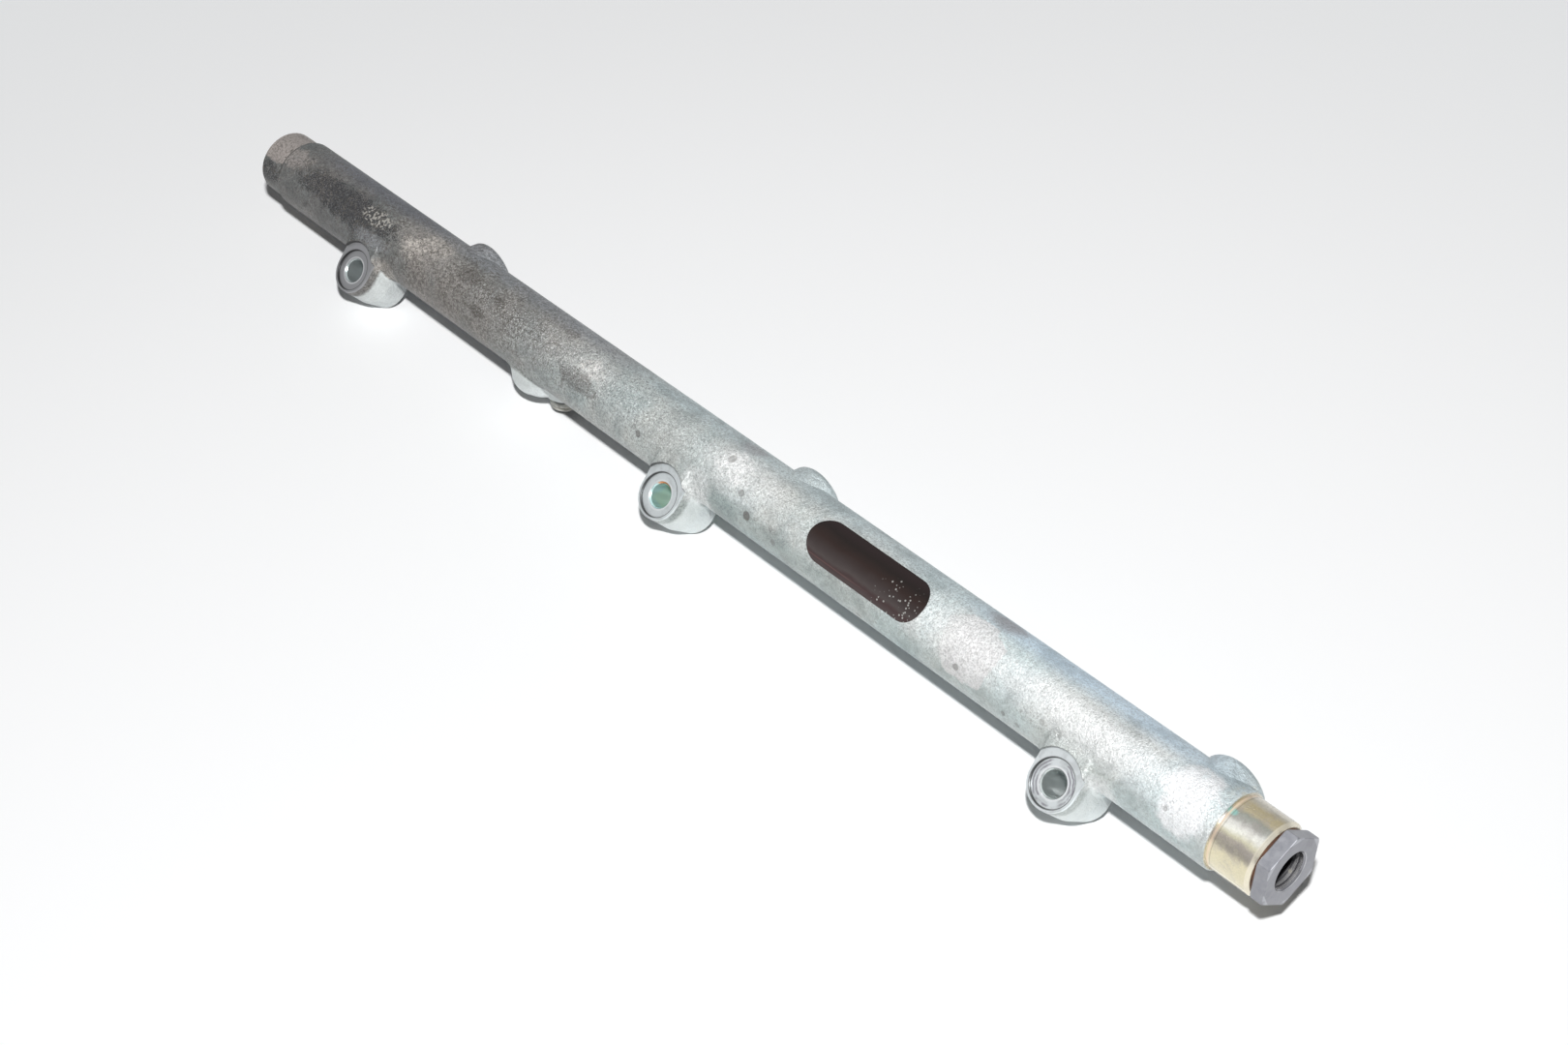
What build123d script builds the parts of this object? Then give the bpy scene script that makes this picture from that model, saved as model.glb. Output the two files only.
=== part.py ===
"""A high-pressure fuel rail for a straight-six engine, lying on its stubs and mounting lugs."""
import os
from math import cos, hypot, radians, sin, tan

from build123d import *

os.makedirs("parts", exist_ok=True)

# Forged bar, turned at both ends. Places along the rail are measured from its far end.
bar_radius = 13.35
spigot_radius = 12.3
far_spigot_length = 13.1
near_spigot_length = 15.3
spigot_chamfer = 1.0
step_chamfer = 0.5

# Fuel passages
gallery_radius = 5.0
gallery_end_wall = 14.0
drilling_radius = 1.5
seat_radius = 3.6
seat_half_angle = 30.0

# The rail rests rolled by this much from the attitude in which its bolts stand upright
roll = 48.0

# Forged surfaces
draft = 4.0
forging_blend = 2.0
boss_blend = 3.0

# Mounting lugs
first_lug = 73.6
lug_pitch = 182.0
lug_count = 3
lug_offset = 17.5
lug_radius = 10.2
lug_upper_draft = 7.5
lug_rise = 12.8
lug_drop = 9.5
lug_edge = 1.0
lug_crown = 1.2
spot_face_radius = 10.7
spot_face_rise = 11.3
recess_radius = 7.75
recess_depth = 0.85
bolt_hole_radius = 4.2
bolt_hole_chamfer = 0.6

# Threaded stubs: the thread's root, and the cylinder that carries it
thread_root_radius = 5.1
thread_tip_chamfer = 0.5
collar_radius = 7.2

# Outlets, one for each cylinder, leaning back from straight down
first_outlet = 28.0
outlet_pitch = 90.1
outlet_count = 6
outlet_lean = 33.0
outlet_collar_reach = 16.5
last_outlet_margin = 26.2

# Inlet, leaning slightly back from straight down, and the forged boss beside it
inlet_place = 175.8
inlet_lean = 3.0
inlet_reach = 23.2
inlet_collar_reach = 16.6
boss_place = 166.3
boss_radius = 13.0
boss_reach = 17.0
boss_edge = 4.0

# Round pads on the back, at every second outlet
pad_radius = 10.8
pad_reach = 14.6
pad_lift = 4.0
pad_draft = 8.0
pad_edge = 2.8

# Fitting screwed into the near end, and the sealing washer under its hexagon
fitting_thread_radius = 8.6
fitting_thread_length = 13.0
fitting_clearance = 0.05
fitting_end_gap = 0.3
washer_thickness = 0.8
washer_radius = 10.9
washer_clearance = 0.25
hexagon_flats = 22.0
hexagon_thickness = 4.6
hexagon_turn = 53.0
hexagon_chamfer = 0.5
hexagon_edge = 0.25
port_radius = 6.2
port_depth = 9.0
port_chamfer = 0.7
port_seat_depth = 3.2
port_drilling_radius = 2.0

# Label glued on the bar
label_place = 344.5
label_length = 51.8
label_width = 15.0
label_turn = 77.5
label_glue = 0.05
label_thickness = 0.2

# Places that follow from the sizes above
outlet_places = [first_outlet + i * outlet_pitch for i in range(outlet_count)]
pad_places = outlet_places[1::2]
lug_places = [first_lug + i * lug_pitch for i in range(lug_count)]
rail_length = outlet_places[-1] + last_outlet_margin
overall_length = rail_length + washer_thickness + hexagon_thickness
far_end = -overall_length / 2
roll_sin, roll_cos = sin(radians(roll)), cos(radians(roll))
lean_sin, lean_cos = sin(radians(outlet_lean)), cos(radians(outlet_lean))
draft_tan = tan(radians(draft))

# Height of the rail's axis: the rounded lower rims of the lugs touch the ground
foot_radius = lug_radius - lug_drop * draft_tan
foot_arc_centre = foot_radius - lug_edge * (1 - sin(radians(draft))) / cos(radians(draft))
axis_height = (lug_offset + foot_arc_centre) * roll_sin + (lug_drop - lug_edge) * roll_cos + lug_edge

# The outlets are as long as it takes for their tips to touch the same ground
tip_radius = thread_root_radius - thread_tip_chamfer
outlet_reach = (axis_height - tip_radius * lean_sin) / lean_cos

# The origin is midway between the lugs' front rims and the outlets' back rims
rim_radius = lug_radius - spot_face_rise * tan(radians(lug_upper_draft))
front_reach = (lug_offset + rim_radius) * roll_cos + spot_face_rise * roll_sin
back_reach = (outlet_reach - thread_tip_chamfer) * lean_sin + thread_root_radius * lean_cos
axis_y = (front_reach - back_reach) / 2


def along(x):
    """The plane across the rail at a place along it, facing the near end, with its X axis up."""
    return Plane(origin=(far_end + x, axis_y, axis_height), x_dir=(0, 0, 1), z_dir=(1, 0, 0))


def radial(x, angle, reach=0.0):
    """The plane at a reach from the axis, facing outwards at an angle counted from +Y towards +Z."""
    out = Vector(0, cos(radians(angle)), sin(radians(angle)))
    return Plane(origin=Vector(far_end + x, axis_y, axis_height) + out * reach, x_dir=(1, 0, 0), z_dir=out)


bolt_plane = radial(0, 90 + roll)
down = 270
same_surface = 0.01


def stub_profile(reach, collar_reach):
    """Half of a threaded stub's section, from the axis of the rail out to the tip."""
    Polyline(
        (0, 0),
        (collar_radius, 0),
        (collar_radius, collar_reach),
        (thread_root_radius, collar_reach + collar_radius - thread_root_radius),
        (thread_root_radius, reach - thread_tip_chamfer),
        (tip_radius, reach),
        (0, reach),
        close=True,
    )


def passage_profile(reach):
    """Half of the drilling and the conical seat inside a stub."""
    seat_depth = (seat_radius - drilling_radius) / tan(radians(seat_half_angle))
    Polyline(
        (0, 0),
        (drilling_radius, 0),
        (drilling_radius, reach - seat_depth),
        (seat_radius, reach),
        (0, reach),
        close=True,
    )


def section(x, angle):
    """The plane through the rail's axis whose Y axis runs outwards along a stub."""
    out = radial(x, angle).z_dir
    return Plane(origin=(far_end + x, axis_y, axis_height), x_dir=(1, 0, 0), z_dir=Vector(1, 0, 0).cross(out))


def meets_bar(edge):
    """Whether an edge runs where a forged feature meets the bar's round surface."""
    middle = edge.position_at(0.5)
    reach = hypot(middle.Y - axis_y, middle.Z - axis_height)
    return edge.geom_type != GeomType.CIRCLE and abs(reach - bar_radius) < same_surface


stubs = [(x, down + outlet_lean, outlet_reach, outlet_collar_reach) for x in outlet_places]
stubs.append((inlet_place, down + inlet_lean, inlet_reach, inlet_collar_reach))

hexagon_plane = along(rail_length + washer_thickness)
hexagon_half_side = 180 / 6
outer_face = washer_thickness + hexagon_thickness
shank_length = washer_thickness + fitting_thread_length - fitting_end_gap


with BuildPart() as lug:
    # One lug with draft both ways from the parting plane
    with BuildSketch(bolt_plane) as lug_outline:
        with Locations((first_lug, -lug_offset)):
            Circle(lug_radius)
            Rectangle(2 * lug_radius, lug_offset, align=(Align.CENTER, Align.MIN))
    extrude(lug_outline.sketch, amount=lug_rise, taper=lug_upper_draft)
    extrude(lug_outline.sketch, amount=lug_drop, dir=-bolt_plane.z_dir, taper=draft)
    levels = lug.edges().group_by(Axis(bolt_plane.origin, bolt_plane.z_dir))
    fillet(levels[-1], lug_crown)
    fillet(levels[0], lug_edge)

with BuildPart() as pads:
    # Drafted pads with a rounded rim
    for x in pad_places:
        with BuildSketch(radial(x, pad_lift)):
            Circle(pad_radius + pad_reach * tan(radians(pad_draft)))
        extrude(amount=pad_reach, taper=pad_draft)
    fillet(pads.edges().group_by(Axis(along(0).origin, radial(0, pad_lift).z_dir))[-1], pad_edge)

with BuildPart() as boss:
    # Rounded boss beside the inlet
    with BuildSketch(radial(boss_place, down + inlet_lean)):
        Circle(boss_radius)
    extrude(amount=boss_reach)
    fillet(boss.edges().group_by(Axis(along(0).origin, radial(0, down + inlet_lean).z_dir))[-1], boss_edge)

with BuildPart() as rail_body:
    # Bar with its two turned spigots
    with BuildSketch(along(0)):
        Circle(spigot_radius)
    extrude(amount=rail_length)
    chamfer(rail_body.edges(), spigot_chamfer)
    with BuildSketch(along(far_spigot_length)):
        Circle(bar_radius)
    extrude(amount=rail_length - far_spigot_length - near_spigot_length)
    chamfer(rail_body.edges().filter_by(GeomType.CIRCLE).filter_by(lambda e: e.radius == bar_radius), step_chamfer)

    # Mounting lugs
    with Locations([(i * lug_pitch, 0, 0) for i in range(lug_count)]):
        add(lug.part)
    fillet(rail_body.edges(Select.NEW).filter_by(meets_bar), forging_blend)

    # Inlet boss, and the pads on the back
    add(boss.part)
    fillet(rail_body.edges(Select.NEW).filter_by(meets_bar), boss_blend)
    add(pads.part)

    # Threaded stubs
    for x, angle, reach, collar_reach in stubs:
        with BuildSketch(section(x, angle)):
            with BuildLine():
                stub_profile(reach, collar_reach)
            make_face()
        revolve(axis=Axis(radial(x, angle).origin, radial(x, angle).z_dir))

    # Spot faces, recesses and bolt holes
    lug_centres = [(x, -lug_offset) for x in lug_places]
    with BuildSketch(bolt_plane.offset(spot_face_rise)):
        with Locations(lug_centres):
            Circle(spot_face_radius)
    extrude(amount=lug_rise, mode=Mode.SUBTRACT)
    with BuildSketch(bolt_plane.offset(spot_face_rise)):
        with Locations(lug_centres):
            Circle(recess_radius)
    extrude(amount=-recess_depth, mode=Mode.SUBTRACT)
    with BuildSketch(bolt_plane.offset(-lug_drop)):
        with Locations(lug_centres):
            Circle(bolt_hole_radius)
    extrude(amount=lug_drop + spot_face_rise, mode=Mode.SUBTRACT)
    chamfer(rail_body.edges().filter_by(GeomType.CIRCLE).filter_by(lambda e: e.radius == bolt_hole_radius), bolt_hole_chamfer)

    # Gallery, bored from the near end, with the fitting's thread
    with BuildSketch(along(gallery_end_wall)):
        Circle(gallery_radius)
    extrude(amount=rail_length - gallery_end_wall, mode=Mode.SUBTRACT)
    with BuildSketch(along(rail_length)):
        Circle(fitting_thread_radius)
    extrude(amount=-fitting_thread_length, mode=Mode.SUBTRACT)

    # Drillings and seats of the stubs
    for x, angle, reach, collar_reach in stubs:
        with BuildSketch(section(x, angle)):
            with BuildLine():
                passage_profile(reach)
            make_face()
        revolve(axis=Axis(radial(x, angle).origin, radial(x, angle).z_dir), mode=Mode.SUBTRACT)
rail_body.part.label = "rail_body"
export_step(rail_body.part, "parts/rail_body.step")

with BuildPart() as end_fitting:
    # Hexagon with its corners turned off
    with BuildSketch(hexagon_plane):
        Circle(hexagon_flats / 2 / cos(radians(hexagon_half_side)))
    extrude(amount=hexagon_thickness)
    chamfer(end_fitting.edges().filter_by(GeomType.CIRCLE), hexagon_chamfer)
    with BuildSketch(hexagon_plane):
        RegularPolygon(radius=hexagon_flats / 2, side_count=6, major_radius=False, rotation=hexagon_turn)
    extrude(amount=hexagon_thickness, mode=Mode.INTERSECT)
    fillet(end_fitting.edges().filter_by(GeomType.LINE), hexagon_edge)

    # Threaded shank
    with BuildSketch(hexagon_plane):
        Circle(fitting_thread_radius - fitting_clearance)
    extrude(amount=-shank_length)

    # Port with its cone seat, and the passage to the gallery
    with BuildSketch(section(rail_length, down)):
        with BuildLine():
            Polyline(
                (outer_face, 0),
                (outer_face, port_radius + port_chamfer),
                (outer_face - port_chamfer, port_radius),
                (outer_face - port_depth, port_radius),
                (outer_face - port_depth - port_seat_depth, port_drilling_radius),
                (-fitting_thread_length, port_drilling_radius),
                (-fitting_thread_length, 0),
                close=True,
            )
        make_face()
    revolve(axis=Axis(along(rail_length).origin, (1, 0, 0)), mode=Mode.SUBTRACT)
end_fitting.part.label = "end_fitting"
export_step(end_fitting.part, "parts/end_fitting.step")

with BuildPart() as sealing_washer:
    with BuildSketch(along(rail_length)):
        Circle(washer_radius)
        Circle(fitting_thread_radius + washer_clearance, mode=Mode.SUBTRACT)
    extrude(amount=washer_thickness)
sealing_washer.part.label = "sealing_washer"
export_step(sealing_washer.part, "parts/sealing_washer.step")

with BuildPart() as label:
    # A thin shell round the bar, cut to the label's outline
    with BuildSketch(along(label_place - label_length / 2)):
        Circle(bar_radius + label_glue + label_thickness)
        Circle(bar_radius + label_glue, mode=Mode.SUBTRACT)
    extrude(amount=label_length)
    with BuildSketch(radial(label_place, roll + label_turn)):
        SlotOverall(label_length, label_width)
    extrude(amount=2 * bar_radius, mode=Mode.INTERSECT)
label.part.label = "label"
export_step(label.part, "parts/label.step")
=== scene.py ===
from math import cos, pi, radians, sin

import bmesh
import bpy
from mathutils import Matrix, Vector


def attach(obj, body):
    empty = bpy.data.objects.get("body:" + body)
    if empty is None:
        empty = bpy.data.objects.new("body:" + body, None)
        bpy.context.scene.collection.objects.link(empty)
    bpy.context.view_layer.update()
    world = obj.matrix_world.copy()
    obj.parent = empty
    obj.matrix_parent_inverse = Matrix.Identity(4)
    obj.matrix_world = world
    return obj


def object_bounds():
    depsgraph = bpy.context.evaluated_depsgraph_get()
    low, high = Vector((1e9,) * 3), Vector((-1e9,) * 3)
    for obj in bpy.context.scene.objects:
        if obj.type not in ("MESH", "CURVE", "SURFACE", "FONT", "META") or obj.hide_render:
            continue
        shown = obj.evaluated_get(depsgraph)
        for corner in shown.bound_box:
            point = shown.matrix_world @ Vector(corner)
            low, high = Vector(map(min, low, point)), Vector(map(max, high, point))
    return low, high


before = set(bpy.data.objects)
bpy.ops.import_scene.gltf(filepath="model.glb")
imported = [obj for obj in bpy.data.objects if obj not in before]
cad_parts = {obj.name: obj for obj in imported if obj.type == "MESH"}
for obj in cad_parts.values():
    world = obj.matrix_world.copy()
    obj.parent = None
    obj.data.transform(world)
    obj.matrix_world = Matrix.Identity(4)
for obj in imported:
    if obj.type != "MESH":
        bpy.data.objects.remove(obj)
cad_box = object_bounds()


# Camera, at the height of a person's eye over the table: it looks down the rail from its near end, so
# that the end fitting is large and low in the picture and the closed end small and high.
def stand(name, data):
    """Puts new data into the scene as an object at the origin."""
    thing = bpy.data.objects.new(name, data)
    bpy.context.scene.collection.objects.link(thing)
    return thing


eye = Vector((0.5345, -0.4091, 0.5656))
right = Vector((0.6601, 0.7506, -0.0296)).normalized()
back = Vector((0.5858, -0.4897, 0.6458)).normalized()
camera_data = bpy.data.cameras.new("camera")
camera_data.sensor_fit = "HORIZONTAL"
camera_data.sensor_width = 36
camera_data.lens = 58.93
camera_data.clip_start = 0.01
camera = stand("camera", camera_data)
camera.matrix_world = Matrix((right, back.cross(right), back)).transposed().to_4x4()
camera.location = eye
bpy.context.scene.camera = camera
bpy.context.scene.view_settings.view_transform = "Standard"


# Light: a small flash 20 cm above the lens throws the narrow dark shadow under the rail, and the white
# room round it fills that shadow to grey. Shader sums are written as plain arithmetic here and below:
# a Signal is one number or colour that changes over a surface, and a Tree holds the nodes.
class Signal:
    def __init__(self, tree, socket):
        self.tree = tree
        self.socket = socket

    def other(self, output):
        """Another output of the same node."""
        return Signal(self.tree, self.socket.node.outputs[output])

    def math(self, operation, *others):
        return self.tree.node("ShaderNodeMath", {"operation": operation}, (self, *others))

    def __add__(self, other):
        return self.math("ADD", other)

    def __sub__(self, other):
        return self.math("SUBTRACT", other)

    def __rsub__(self, other):
        return self.tree.node("ShaderNodeMath", {"operation": "SUBTRACT"}, (other, self))

    def __mul__(self, other):
        return self.math("MULTIPLY", other)

    def __truediv__(self, other):
        return self.math("DIVIDE", other)

    def __pow__(self, other):
        return self.math("POWER", other)

    __radd__ = __add__
    __rmul__ = __mul__

    def at_least(self, limit):
        return self.math("MAXIMUM", limit)

    def at_most(self, limit):
        return self.math("MINIMUM", limit)

    def rises(self, low, high):
        """0 below low and 1 above high, with a smooth step between them; falls if low is above high."""
        bounds = {"Value": self, "From Min": min(low, high), "From Max": max(low, high)}
        step = self.tree.node("ShaderNodeMapRange", {"interpolation_type": "SMOOTHSTEP"}, bounds)
        return step if low < high else 1 - step

    def near(self, centre, width):
        """1 at the centre, falling smoothly to 0 at the width on either side of it."""
        return (self - centre).math("ABSOLUTE").rises(width, 0)


class Tree:
    """The nodes of a material, of a lamp or of the room."""
    def __init__(self, owner):
        owner.use_nodes = True
        self.tree = owner.node_tree
        self.tree.nodes.clear()

    def node(self, kind, settings=None, inputs=(), output=0):
        """Adds a node: its settings first, then the values or links of its sockets."""
        new = self.tree.nodes.new(kind)
        for name, value in (settings or {}).items():
            if name == "stops":
                ramp = new.color_ramp.elements
                while len(ramp) < len(value):
                    ramp.new(0.5)
                for stop, (place, colour) in zip(ramp, value):
                    stop.position = place
                    stop.color = (*colour, 1)
            else:
                setattr(new, name, value)
        for name, value in inputs.items() if isinstance(inputs, dict) else enumerate(inputs):
            if isinstance(value, Signal):
                self.tree.links.new(value.socket, new.inputs[name])
            elif isinstance(value, tuple) and new.inputs[name].type == "RGBA":
                new.inputs[name].default_value = (*value, 1)
            else:
                new.inputs[name].default_value = value
        return Signal(self, new.outputs[output]) if new.outputs else None


flash_data = bpy.data.lights.new("flash", "AREA")
flash_data.shape = "DISK"
flash_data.size = 0.05
flash_data.energy = 12.0
burst = Tree(flash_data)
even = burst.node("ShaderNodeLightFalloff", inputs={"Strength": 1}, output="Constant")
glare = burst.node("ShaderNodeEmission", inputs={"Color": (1, 1, 1), "Strength": even})
burst.node("ShaderNodeOutputLight", inputs={"Surface": glare})
flash = stand("flash", flash_data)
flash.location = (0.523, -0.397, 0.772)
aim = Vector((0.03, 0, 0))
flash.rotation_euler = (flash.location - aim).to_track_quat("Z", "Y").to_euler()


# The rail body is one steel forging, shot-blasted and zinc-plated. Its far end is caked with road grime
# and oil, the middle is mottled, and the near end is clean and silvery, made paler still by painted flash
# light. Only the lugs' spot faces and holes, the two spigots and the stubs are machined. Its place in the
# frame comes first, in metres, and then its own sizes, in millimetres.
far_end = cad_box[0][0]
axis_y = 0.003309
axis_z = 0.026086
roll = radians(48)

rail_length = 510
bar_radius = 13.35
far_step = 13.1
near_step = 489.4

first_lug = 73.6
lug_pitch = 182
bolt_side = -17.5
spot_face_radius = 10.7
spot_face_rise = 11.3
recess_radius = 7.75
recess_rise = 10.45
hole_rim = 4.8

first_outlet = 28
outlet_pitch = 90.1
inlet_place = 175.8


def grey(level):
    return (level, level, level)


class Finish(Tree):
    """The nodes of a material."""
    def __init__(self, name):
        self.material = bpy.data.materials.new(name)
        super().__init__(self.material)
        self.places = self.node("ShaderNodeTexCoord", output="Object")

    def noise(self, per_metre, detail=3.0, roughness=0.55, distortion=0.0):
        """Cloudy noise from 0 to 1, spread over most of that range."""
        value = self.node("ShaderNodeTexNoise", inputs={
            "Vector": self.places, "Scale": per_metre, "Detail": detail,
            "Roughness": roughness, "Distortion": distortion})
        return value.rises(0.22, 0.78)

    def mix(self, amount, first, second, blend="MIX"):
        """A blend of two colours. The node's number sockets have the same names, so these go by place."""
        blending = {"data_type": "RGBA", "blend_type": blend}
        return self.node("ShaderNodeMix", blending, {0: amount, 6: first, 7: second}, output=2)

    def multiply(self, first, second, amount=1.0):
        return self.mix(amount, first, second, "MULTIPLY")

    def ramp(self, value, *stops):
        return self.node("ShaderNodeValToRGB", {"stops": stops}, {"Fac": value})

    def bump(self, height, distance, strength, normal=None):
        """Relief that stands a distance in metres high where height is 1, on top of a relief before it."""
        inputs = {"Height": height, "Distance": distance, "Strength": strength}
        if normal:
            inputs["Normal"] = normal
        return self.node("ShaderNodeBump", inputs=inputs)

    def surface(self, **inputs):
        sockets = {name.replace("_", " "): value for name, value in inputs.items()}
        shader = self.node("ShaderNodeBsdfPrincipled", inputs=sockets)
        self.node("ShaderNodeOutputMaterial", inputs={"Surface": shader})

    def wear_on(self, piece):
        piece.data.materials.clear()
        piece.data.materials.append(self.material)


class RailFinish(Finish):
    """A finish that knows where it is on the rail, in millimetres and degrees: its place along it from the
    closed end, its angle round the axis from 0 opposite the lugs to 180 at them, its reach out from the
    axis, and how far from the axis it is along the lugs' parting plane, side, and along their bolts, rise."""
    def __init__(self, name):
        super().__init__(name)
        x = self.node("ShaderNodeSeparateXYZ", inputs={"Vector": self.places})
        self.place = (x - far_end) * 1000
        across = (x.other("Y") - axis_y) * 1000
        up = (x.other("Z") - axis_z) * 1000
        self.side = across * cos(roll) + up * sin(roll)
        self.rise = up * cos(roll) - across * sin(roll)
        self.angle = self.rise.math("ARCTAN2", self.side) * (180 / pi)
        self.reach = (self.side ** 2 + self.rise ** 2) ** 0.5

    def along_row(self, first, pitch):
        """How far along the rail it is from the nearest of a row of lugs or stubs."""
        return (self.place + (pitch / 2 - first)).math("MODULO", pitch) - pitch / 2

    def off(self, place, angle, length, width):
        """0 at a place and angle on the bar, 1 at a length along it or a width round it, and on."""
        along = (self.place - place) / length
        around = (self.angle - angle) * (radians(1) * bar_radius) / width
        return along ** 2 + around ** 2

    def spot(self, place, angle, length, width):
        """A soft patch."""
        return self.off(place, angle, length, width).rises(1, 0)

    def blot(self, place, angle, length, width, ragged, bite=2.2):
        """A patch that ends in a clear but ragged edge."""
        return (self.off(place, angle, length, width) + (ragged - 0.5) * bite).rises(1.25, 0.35)

    def splash(self, place, angle, length, width, ragged, bite=0.8):
        """A patch with a sharp edge, as a drop of fluid leaves it."""
        return (self.off(place, angle, length, width) + (ragged - 0.5) * bite).rises(1.06, 0.94)


body = RailFinish("forged_zinc")
cloud = body.noise(30, 3, 0.6, 0.4)
patch = body.noise(95, 5, 0.68, 0.5)
grain = body.noise(640, 4, 0.8)
salt = body.noise(1900, 2, 0.6)
crust = body.noise(240, 6, 0.75, 0.3)
soiled = body.place.rises(330, 60)
foot = body.side.rises(-10, -12.5) * body.rise.rises(8, 6)
foot = foot * body.reach.rises(bar_radius + 0.35, bar_radius + 1.25)
from_lug = body.along_row(first_lug, lug_pitch)
lug_reach = (from_lug ** 2 + (body.side - bolt_side) ** 2) ** 0.5

# zinc, paler towards the near end, partly as cleaner zinc and partly as painted flash light that fades
# towards the far end, tinted pink where it is thin and green where it is thick
zinc = body.ramp(
    body.place / rail_length,
    (0.0, (0.19, 0.185, 0.18)), (0.12, grey(0.18)), (0.20, (0.27, 0.26, 0.25)),
    (0.27, (0.27, 0.262, 0.25)), (0.34, (0.37, 0.37, 0.36)), (0.45, (0.48, 0.515, 0.51)),
    (0.62, (0.55, 0.585, 0.58)), (0.80, (0.66, 0.705, 0.71)), (0.95, (0.66, 0.70, 0.71)))
tint = body.ramp(
    cloud, (0.15, (1.02, 0.99, 0.965)), (0.55, (0.985, 1.0, 0.995)), (0.9, (0.94, 1.01, 1.015)))
zinc = body.multiply(zinc, tint)

# a painted bluish reflection of the room on the upper side, away from the lugs, and painted shade on the
# lower side
upper = body.angle.rises(52, 22)
reflected_slate = body.mix(body.place.rises(90, 115), (0.175, 0.185, 0.215), (0.345, 0.36, 0.385))
zinc = body.mix(upper * body.place.rises(235, 190) * body.place.rises(20, 40) * 0.75, zinc, reflected_slate)
zinc = body.mix(upper * body.place.rises(200, 240) * 0.6, zinc, (0.62, 0.72, 0.75))
zinc = body.mix(upper * body.spot(432, 25, 62, 20) * 0.85, zinc, (0.66, 0.80, 0.92))
lower = body.angle.rises(104, 122) * body.place.rises(230, 290)
zinc = body.multiply(zinc, (0.80, 0.83, 0.82), lower)
mottling = body.ramp(patch, (0.2, (0.74, 0.75, 0.75)), (0.55, grey(0.98)), (0.8, (1.06, 1.05, 1.04)))
zinc = body.multiply(zinc, mottling)

# pale patches where the zinc is rubbed bright, with painted highlight spots on the second lug's web and
# along the ridge that faces the flash
pale = body.mix(body.place.rises(150, 260), (0.54, 0.50, 0.46), (0.90, 0.90, 0.895))
rubbed_and_highlight = sum([
    body.blot(99, 77, 7, 4.5, crust) * 0.8,
    body.blot(108, 52, 8, 4.5, crust) * 0.6,
    body.spot(103, 62, 26, 12) * 0.35,
    body.blot(205, 73, 6, 4.5, crust) * 0.6,
    body.spot(195, 66, 26, 10) * 0.35,
    body.blot(279, 66, 9, 5.5, crust) * 0.5,
    body.spot(284, 70, 26, 11) * 0.5,
    # painted highlight on the second lug's web
    body.spot(268, 118, 8, 6) * 0.6,
    body.spot(380, 85, 30, 11) * 0.4,
    # painted highlight along the ridge that faces the flash
    body.spot(436, 77, 50, 7) * 0.6,
])
zinc = body.mix((rubbed_and_highlight * (0.4 + grain * 0.75)).at_most(1), zinc, pale)
dried = body.splash(391, 84, 12, 11.5, patch) * body.place.rises(374, 388)
zinc = body.mix(dried * 0.6, zinc, (0.80, 0.765, 0.765))
zinc = body.mix(body.blot(478, 84, 9.5, 12, patch, 1.2) * 0.85, zinc, (0.92, 0.92, 0.93))
# painted highlight on the near side web of each lug
web_highlight = (((from_lug - 13) / 7) ** 2 + ((body.side + 11.5) / 5) ** 2).rises(1, 0) * body.rise.rises(0, 4)
zinc = body.mix(web_highlight * (0.4 + grain * 0.5), zinc, pale)
dim = body.spot(277, 20, 7, 5) * 0.6 + body.spot(394, 16, 10, 6) * 0.75
zinc = body.mix(dim, zinc, (0.33, 0.315, 0.33))

# the far end's grime: charred oil, with bare metal on the upper half of the spigot
bare = body.place.rises(far_step + 0.4, far_step + 0.2) * (body.angle + (crust - 0.5) * 16).rises(96, 92)
bare = bare + body.blot(14, 66, 13, 5, crust) * body.place.rises(far_step + 0.4, far_step + 0.6) * 0.7
bare = bare.at_most(1)
zinc = body.mix(bare * 0.85, zinc, (0.41, 0.365, 0.34))
soot = sum([
    body.blot(57, 80, 34, 7, crust),
    body.spot(56, 80, 38, 9) * 0.5,
    body.blot(4, 116, 10, 5.5, crust, 1.2),
    body.spot(70, 118, 10, 5) * 0.6,
])
soot = (soot * (0.6 + crust * 0.6) - salt.rises(0.62, 0.76) * 0.8).at_most(1).at_least(0)
zinc = body.mix(soot * 0.92, zinc, (0.030, 0.030, 0.034))
zinc = body.mix(body.spot(77, 106, 14, 3.5) * 0.6, zinc, (0.31, 0.32, 0.335))

# brown crusts, dark specks that thin out along the bar, and painted glints of the flash between them, on
# the side that faces it
crumbs = body.noise(800, 5, 0.85).rises(0.50, 0.62) * patch.rises(0.25, 0.65)
brown = sum([
    crumbs * body.spot(124, 80, 78, 30) * 1.2,
    body.splash(143, 102, 4.5, 1.8, crust, 2) * 0.9,
    body.blot(130, 62, 6, 3.5, crust) * 0.7,
    body.splash(150, 68, 3, 1.6, crust, 2) * 0.8,
    body.splash(185, 40, 3, 1.8, crust, 2) * 0.5,
    body.spot(194.5, 112, 1.3, 4) * 0.7,
    body.blot(202, 98, 11, 4, crust) * 0.8,
    body.blot(170, 60, 30, 9, grain) * 0.3,
])
zinc = body.mix((brown * (0.35 + grain * 0.8)).at_most(1) * 0.85, zinc, (0.070, 0.060, 0.052))
specks = sum([
    body.noise(1150, 3, 0.6).rises(0.56, 0.70) * (patch * 0.8 + 0.1) * (0.34 + soiled * 0.8),
    body.spot(443, 48, 24, 5) * salt.rises(0.62, 0.72) * 0.35,
    body.spot(425, 112, 16, 4) * grain.rises(0.6, 0.8) * 0.4,
])
zinc = body.mix(specks.at_most(1), zinc, (0.11, 0.10, 0.088))
glints = body.noise(2000, 1).rises(0.70, 0.84) * body.angle.near(75, 65) * body.place.rises(85, 190)
zinc = body.mix(glints * 0.5, zinc, (0.95, 0.97, 0.97))

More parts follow.
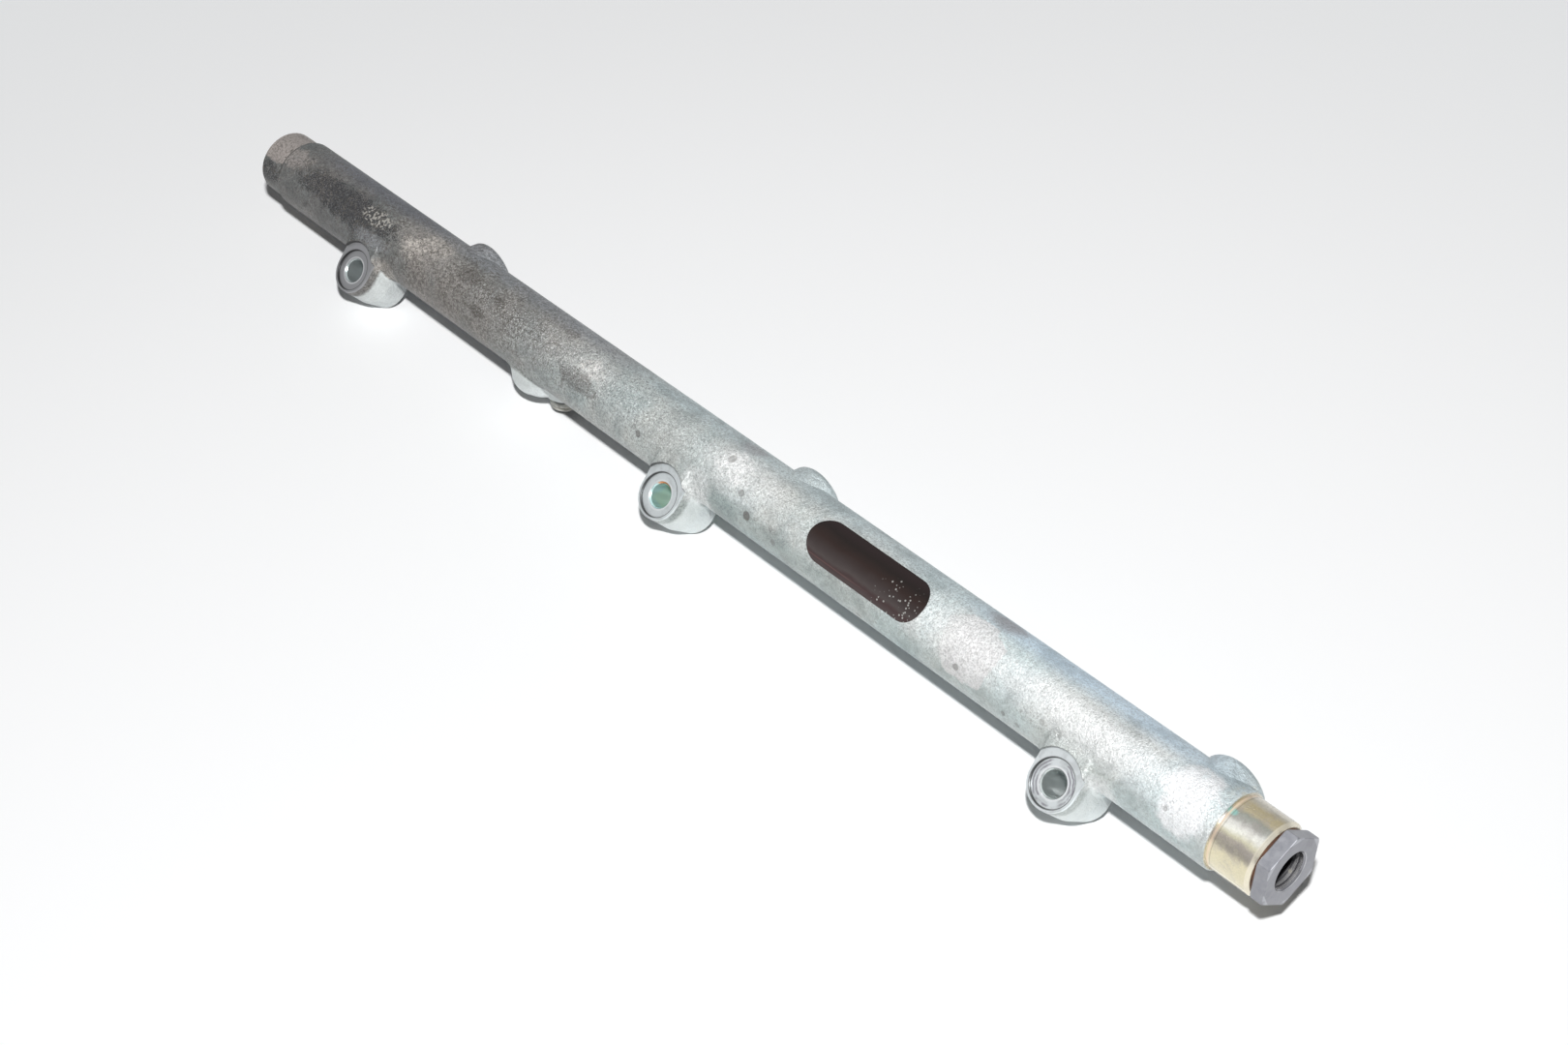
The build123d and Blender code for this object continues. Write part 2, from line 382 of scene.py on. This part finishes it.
# the lugs' feet, worn clean, and single pits with dirt in them
zinc = body.mix(foot * (0.65 + patch * 0.3), zinc, (0.72, 0.76, 0.755))
pits = sum([
    body.spot(place, angle, size, size).rises(0, 0.5) * depth
    for place, angle, size, depth in (
        (236, 110, 1.5, 0.9), (233.2, 105, 1.3, 0.4), (275.9, 59, 1.9, 0.5), (287.3, 92, 1.5, 0.6),
        (292.6, 116, 2.0, 1.0), (304, 110, 1.3, 0.4), (306, 128, 1.4, 0.5), (389.7, 117, 1.4, 0.7),
        (410.5, 136, 1.1, 0.7), (416.3, 139, 1.1, 0.6), (425.2, 108, 1.3, 0.35), (432.6, 108, 1.1, 0.35),
        (473.5, 106, 1.0, 0.5), (346, 152, 1.4, 0.5), (158, 92, 1.3, 0.5))
])
zinc = body.mix(pits * (0.5 + salt * 0.5), zinc, (0.115, 0.105, 0.095))

# the blasted grain, worn finer on the feet and towards the near end
coarse = (1 - foot * 0.75) * (1 - bare * 0.6) * (1 - body.place.rises(370, 430) * 0.35)
grains = body.ramp(grain, (0.05, grey(0.48)), (0.45, grey(0.95)), (0.95, grey(1.25)))
zinc = body.multiply(zinc, grains, (0.40 + soiled * 0.6) * coarse)
crystals = body.ramp(salt, (0.1, grey(0.62)), (0.5, grey(1.0)), (0.9, grey(1.20)))
zinc = body.multiply(zinc, crystals, (0.6 + soiled * 0.4) * coarse)

# raised forging marks, worn to bright dots
marks = body.spot(74, 70, 11, 4.5).rises(0.1, 0.5) * body.noise(900, 1, 0.5).rises(0.56, 0.68)
zinc = body.mix(marks * 0.7, zinc, (0.50, 0.48, 0.44))

# the lugs' turned spot faces, with rings from the tool, painted shade at the recess step, in the outer
# corner and on the cut wall, and their drilled holes
face = body.rise.rises(recess_rise - 0.15, recess_rise - 0.07)
face = face * lug_reach.rises(spot_face_radius + 0.05, spot_face_radius - 0.05)
face = face * body.rise.rises(spot_face_rise + 0.1, spot_face_rise + 0.04)
shaded_wall = body.rise.rises(spot_face_rise, spot_face_rise + 0.1)
shaded_wall = shaded_wall * lug_reach.rises(spot_face_radius + 0.25, spot_face_radius + 0.05)
hole = lug_reach.rises(hole_rim + 0.15, hole_rim - 0.05) * (1 - face)
on_third = body.place.rises(340, 350)
on_first = body.place.rises(170, 160)
rings = (lug_reach * 5.5 + body.noise(260, 3) * 3).math("SINE") * 0.5 + 0.5
turned = body.mix(on_first, (0.66, 0.70, 0.71), (0.30, 0.30, 0.31))
trace = rings * body.noise(170, 3).rises(0.25, 0.6)
trace = trace * lug_reach.rises(recess_radius - 0.05, recess_radius - 0.25)
turned = body.mix(on_third, turned, body.mix(trace, (0.76, 0.80, 0.81), (0.32, 0.305, 0.345)))
turned = body.mix(body.noise(300, 3).rises(0.4, 0.9) * 0.3, turned, (0.34, 0.35, 0.35))
# painted shade at the recess step
turned = body.mix(lug_reach.near(recess_radius, 0.42) * 0.9, turned, grey(0.04))
# a bright ring on the hole's chamfer: polished metal with a painted highlight
turned = body.mix(lug_reach.near(hole_rim + 0.25, 0.45) * (0.5 + on_third * 0.4), turned, (0.92, 0.93, 0.94))
# painted shade in the spot face's outer corner
corner = lug_reach.near(spot_face_radius - 0.08, 0.2) * 0.6 * (1 - on_third * 0.5)
turned = body.mix(corner, turned, grey(0.05))
drilled = body.mix(body.noise(90, 1).rises(0.4, 0.6), (0.62, 0.80, 0.68), (0.54, 0.74, 0.74))
drilled = body.mix(on_third, drilled, (0.56, 0.61, 0.60))
drilled = body.mix(on_first, drilled, (0.38, 0.42, 0.42))
rust = (body.side - bolt_side).rises(2.2, 3.8) * (1 - on_third) * (1 - on_first) * body.rise.rises(8, 10)
drilled = body.mix(rust, drilled, (0.75, 0.30, 0.12))

# near spigot, yellow chromate whose colour round the axis is partly its own and partly painted
# reflection, with a painted highlight on the side facing the flash, and a trace of chromate on the bar
# beside it
spigot = body.place.rises(near_step - 0.2, near_step + 0.1)
swing = body.angle + (body.noise(90, 4, 0.6) - 0.5) * 12
# the palest stop is the painted highlight
chromate_and_reflection = body.ramp(
    swing / 180,
    (0.08, (0.74, 0.70, 0.60)), (0.16, (0.56, 0.48, 0.30)), (0.24, (0.54, 0.47, 0.31)),
    (0.28, (0.36, 0.37, 0.32)), (0.34, (0.46, 0.46, 0.42)), (0.375, (0.76, 0.75, 0.70)),
    (0.43, (0.96, 0.95, 0.86)), (0.48, (0.72, 0.68, 0.50)), (0.52, (0.50, 0.45, 0.39)),
    (0.58, (0.50, 0.46, 0.38)), (0.63, (0.74, 0.68, 0.48)), (0.80, (0.78, 0.72, 0.53)))
tarnish = body.spot(497, 99, 9, 4) * 0.8 + body.spot(497, 54, 10, 4) * 0.8
chromate_and_reflection = body.mix((tarnish * crust.rises(0.35, 0.75)).at_most(1) * 0.5, chromate_and_reflection, (0.24, 0.215, 0.20))
chromate_and_reflection = body.mix(crust.rises(0.5, 0.75) * 0.3, chromate_and_reflection, (0.50, 0.46, 0.43))
chromate_and_reflection = body.mix(body.spot(490.5, 58, 2.2, 1.6) * 0.8, chromate_and_reflection, (0.30, 0.66, 0.60))
chromate_and_reflection = body.multiply(chromate_and_reflection, body.ramp(salt, (0, grey(0.80)), (1, grey(1.0))), 0.8)
chromate_and_reflection = body.mix(body.place.near(near_step + 0.7, 0.8) * 0.8, chromate_and_reflection, (0.84, 0.66, 0.50))
chromate_and_reflection = body.mix(body.place.near(near_step + 1.6, 0.25) * 0.6, chromate_and_reflection, (0.26, 0.20, 0.14))
chromate_and_reflection = body.mix(body.place.rises(503.2, 503.8) * 0.7, chromate_and_reflection, (0.84, 0.78, 0.64))
gilded = body.place.rises(484.5, 488.8) * crust.rises(0.45, 0.7) * body.angle.rises(60, 20)

# far spigot, turned and gone grey, with a dark line along its step and painted shade between the stubs'
# thread ridges
far_spigot = body.place.rises(far_step + 0.5, far_step + 0.1)
step_line = body.place.near(far_step + 0.3, 1.0).rises(0, 0.5) * body.angle.near(78, 45).rises(0, 0.4)
on_stubs = body.along_row(first_outlet, outlet_pitch).near(0, 7.5) + body.place.near(inlet_place, 7.5)
thread_root_shade = on_stubs.rises(0, 0.3) * body.reach.rises(18.6, 19.0)

colour = body.mix(gilded * 0.35, zinc, (0.62, 0.52, 0.30))
colour = body.mix(step_line * 0.85, colour, (0.035, 0.034, 0.032))
colour = body.mix(thread_root_shade * 0.85, colour, (0.05, 0.05, 0.045))
colour = body.mix(spigot * body.reach.rises(13.6, 12.9), colour, chromate_and_reflection)
# the cut wall round each spot face is painted dark as shade
colour = body.mix(shaded_wall * (0.85 - on_third * 0.35), colour, grey(0.06))
colour = body.mix(face, colour, turned)
colour = body.mix(hole, colour, drilled)
rough = 0.42 + cloud * 0.08 + soot * 0.2 + grain * 0.12 * (1 - hole) - body.place.rises(340, 470) * 0.08
rough = rough * (1 - spigot * 0.45) * (1 - face * 0.25) * (1 - hole * 0.45)
metal = 0.42 + spigot * 0.18 + face * 0.28 + hole * 0.2 - soot * 0.3
forged = (1 - spigot) * (1 - face) * (1 - hole) * (1 - far_spigot * 0.6)
skin = (grain * 0.55 + salt * 0.35 + patch * 0.3) * forged - pits * 0.7 + marks * 0.9
relief = body.bump(skin, distance=0.00032, strength=0.9)
lathe = (body.place * 16).math("SINE") * spigot + rings * face
relief = body.bump(lathe, distance=0.00001, strength=0.5, normal=relief)
body.surface(Base_Color=colour, Roughness=rough.at_least(0.2), Metallic=metal.at_least(0), Normal=relief)
body.wear_on(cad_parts["rail_body"])


# The end fitting is a turned steel screw plug with a hexagon, phosphated bluish grey. Its port is painted
# with the turns of a thread, in painted light in front and painted shade further in.
mouth = (cad_box[1][0] - far_end) * 1000
port_rim = 6.9
port_pitch = 1.5
half_flats = 11.0
flats_at = (-25, 35, 95)

fitting = RailFinish("phosphated_steel")
mottle = fitting.noise(420, 4, 0.6)
tone = fitting.mix(mottle, (0.270, 0.274, 0.300), (0.335, 0.338, 0.362))
smudged = fitting.noise(150, 3).rises(0.55, 0.85)
tone = fitting.mix(smudged * 0.3, tone, (0.20, 0.202, 0.22))

# a painted highlight along the rim of the hexagon's face
first, second, third = (
    (fitting.side * cos(radians(turn)) + fitting.rise * sin(radians(turn))).math("ABSOLUTE")
    for turn in flats_at)
flat = first.at_least(second).at_least(third)
rim_highlight = fitting.place.rises(mouth - 0.3, mouth - 0.1) * flat.rises(half_flats - 0.16, half_flats - 0.06)
rim_highlight = rim_highlight * fitting.noise(260, 3).rises(0.25, 0.55)
tone = fitting.mix(rim_highlight * 0.3, tone, (0.80, 0.82, 0.86))

# the port's thread as painted light and shade on its turns, painted shade under its upper rim and deep
# in the bore, and one painted glint
inside = fitting.reach.rises(port_rim, port_rim - 0.2) * fitting.place.rises(mouth + 0.05, mouth - 0.2)
groove = (fitting.place * (2 * pi / port_pitch)).math("SINE")
port = fitting.mix(groove.rises(-1, 0.2), (0.24, 0.24, 0.26), (0.74, 0.735, 0.75))
port = fitting.mix(fitting.place.rises(mouth - 3.3, mouth - 4.5), port, (0.04, 0.04, 0.045))
shade = fitting.place.near(mouth - 1.3, 0.7) * (fitting.angle + 11).near(0, 50).rises(0, 0.3)
port = fitting.mix(shade, port, (0.04, 0.04, 0.045))
glint = ((fitting.place - (mouth - 2.9)) / 0.7) ** 2 + ((fitting.angle + 100) / 7) ** 2
port = fitting.mix(glint.rises(1, 0.3), port, (1.0, 0.96, 0.85))
tone = fitting.mix(inside, tone, port)

coat = (mottle + fitting.noise(1800, 2) * 0.5) * (1 - inside)
coat = fitting.bump(coat, distance=0.00005, strength=0.5)
coat = fitting.bump(groove * inside, distance=0.00002, strength=0.6, normal=coat)
dull = 0.34 + mottle * 0.12 * (1 - inside) - inside * 0.08
fitting.surface(Base_Color=tone, Roughness=dull, Metallic=0.8, Normal=coat)
fitting.wear_on(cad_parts["end_fitting"])


# The sealing washer is a flat ring of soft iron, crushed between the hexagon and the rail's end face.
# Only its rim shows, stained reddish brown.
seal = RailFinish("stained_washer")
stain = seal.noise(500, 4, 0.6)
rusty = seal.mix(stain, (0.045, 0.020, 0.012), (0.12, 0.055, 0.03))
pitted = seal.bump(stain, distance=0.00005, strength=0.6)
seal.surface(Base_Color=rusty, Roughness=0.5 + stain * 0.2, Metallic=0.3, Normal=pitted)
seal.wear_on(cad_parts["sealing_washer"])


# The label is a printed film, dark brown, glued on the bar. It is left without any print. It is worn to
# pale specks near one end, and a crease runs along its other half.
film = RailFinish("label_film")
faded = film.noise(70, 3, 0.6)
# dark print, painted darker round the upper edge and paler towards the lower edge as a painted sheen
ink_and_sheen = film.ramp(
    (film.angle + (faded - 0.5) * 6) / 180,
    (0.28, (0.014, 0.007, 0.007)), (0.34, (0.009, 0.005, 0.004)), (0.41, (0.022, 0.012, 0.010)),
    (0.48, (0.042, 0.032, 0.031)), (0.53, (0.064, 0.052, 0.050)), (0.56, (0.050, 0.031, 0.031)),
    (0.60, (0.064, 0.047, 0.046)))
chips = film.node("ShaderNodeTexVoronoi", inputs={"Vector": film.places, "Scale": 800.0}).rises(0.30, 0.20)
chips = chips * film.noise(400, 1).rises(0.36, 0.46) * film.spot(362, 94, 14, 10).rises(0.1, 0.5)
ink_and_sheen = film.mix(chips * 0.8, ink_and_sheen, (0.42, 0.42, 0.40))
crease = film.angle.near(103, 1.4) * film.place.rises(352, 338)
ink_and_sheen = film.mix(crease * 0.6, ink_and_sheen, (0.13, 0.075, 0.07))
ripple = film.bump(film.noise(600, 3), distance=0.00004, strength=0.5)
film.surface(Base_Color=ink_and_sheen, Roughness=0.34 + faded * 0.14, Specular_IOR_Level=0.22, Normal=ripple)
film.wear_on(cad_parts["label"])


# The stubs' threads are M12 x 1.5, cut into the forging. Each thread is one ridge, wound round the
# stub's plain core from its collar to its tip. The cut steel is bright under a film of oil. These sizes
# are in metres.
thread_pitch = 0.0015
core_radius = 0.00505
crest_radius = 0.006
tip_chamfer = 0.0009
steps_per_turn = 36


def wind_thread(name, centre, out, start, end):
    """A helical ridge on the axis through centre along out, between two reaches."""
    mesh = bmesh.new()
    turns = (end - start) / thread_pitch
    root = thread_pitch * 0.46
    land = thread_pitch * 0.07
    profile = [(core_radius, -root), (crest_radius, -land), (crest_radius, land), (core_radius, root)]
    corners = [mesh.verts.new((radius, 0, start + height)) for radius, height in profile]
    edges = [mesh.edges.new(pair) for pair in zip(corners, corners[1:] + corners[:1])]
    mesh.faces.new(corners)
    step = (end - start) / (turns * steps_per_turn)
    bmesh.ops.spin(mesh, geom=corners + edges, cent=(0, 0, 0), axis=(0, 0, 1), dvec=(0, 0, step),
                   angle=2 * pi * turns, steps=int(turns * steps_per_turn))
    bmesh.ops.edgeloop_fill(mesh, edges=[edge for edge in mesh.edges if edge.is_boundary])
    bmesh.ops.recalc_face_normals(mesh, faces=mesh.faces)
    lean = out.to_track_quat("Z", "Y").to_matrix().to_4x4()
    bmesh.ops.transform(mesh, matrix=Matrix.Translation(centre) @ lean, verts=mesh.verts)
    data = bpy.data.meshes.new(name)
    mesh.to_mesh(data)
    mesh.free()
    piece = stand(name, data)
    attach(piece, "root")
    return piece


cut = Finish("cut_thread")
oil = cut.noise(700, 3)
wet = cut.mix(oil, (0.62, 0.61, 0.57), (0.36, 0.35, 0.32))
torn = cut.bump(oil, distance=0.00004, strength=0.5)
cut.surface(Base_Color=wet, Roughness=0.30 + oil * 0.15, Metallic=0.75, Normal=torn)
stubs = [("inlet", inlet_place, 273, 0.0187, 0.0232)]
stubs += [(f"outlet_{i + 1}", first_outlet + outlet_pitch * i, 303, 0.0186, 0.028117) for i in range(6)]
for name, place, angle, collar, tip in stubs:
    out = Vector((0, cos(radians(angle)), sin(radians(angle))))
    centre = Vector((far_end + place / 1000, axis_y, axis_z))
    thread = wind_thread(f"thread_{name}", centre, out, collar + thread_pitch * 0.3, tip - tip_chamfer)
    cut.wear_on(thread)


# The table is one sheet of matt white board, wider than the view and a little darker away from the
# flash, though it is lifted there. The room behind it is as pale.
table_mesh = bmesh.new()
bmesh.ops.create_grid(table_mesh, x_segments=1, y_segments=1, size=4)
table_data = bpy.data.meshes.new("table")
table_mesh.to_mesh(table_data)
table_mesh.free()
table = stand("table", table_data)
paper = Finish("white_table")
across = paper.node("ShaderNodeSeparateXYZ", inputs={"Vector": paper.places})
distance = (across ** 2 + across.other("Y") ** 2) ** 0.5
ray = paper.node("ShaderNodeLightPath", output="Is Camera Ray")
watched = ray.at_least(ray.other("Is Glossy Ray")).at_least(ray.other("Is Transmission Ray"))
lift = paper.mix(distance.rises(0.25, 1.5), grey(0.015), (0.285, 0.335, 0.365))
lift = paper.mix(distance.rises(0.8, 2.4), lift, (0.76, 0.78, 0.80))
lift = paper.mix(watched, grey(0), lift)
paper.surface(
    Base_Color=(0.94, 0.945, 0.95), Roughness=0.9, Specular_IOR_Level=0.2,
    Emission_Color=lift, Emission_Strength=1)
paper.wear_on(table)

fill_level = 0.07
backdrop_level = 0.86
world = bpy.data.worlds.new("room")
bpy.context.scene.world = world
room = Tree(world)
seen = room.node("ShaderNodeLightPath", output="Is Camera Ray")
shiny = seen.other("Is Glossy Ray").at_least(seen.other("Is Transmission Ray"))
heading = room.node("ShaderNodeTexCoord", output="Generated")
height = room.node("ShaderNodeSeparateXYZ", inputs={"Vector": heading}, output="Z")
ceiling = room.node("ShaderNodeMapRange", inputs={
    "Value": height, "From Max": 0.9, "To Min": 0.38, "To Max": 1.0})
fill = room.node("ShaderNodeMix", inputs={"Factor": shiny, "A": fill_level, "B": ceiling})
backdrop = room.node("ShaderNodeMix", inputs={"Factor": seen, "A": fill, "B": backdrop_level})
glow = room.node("ShaderNodeBackground", inputs={"Color": (0.97, 0.985, 1.0), "Strength": backdrop})
room.node("ShaderNodeOutputWorld", inputs={"Surface": glow})
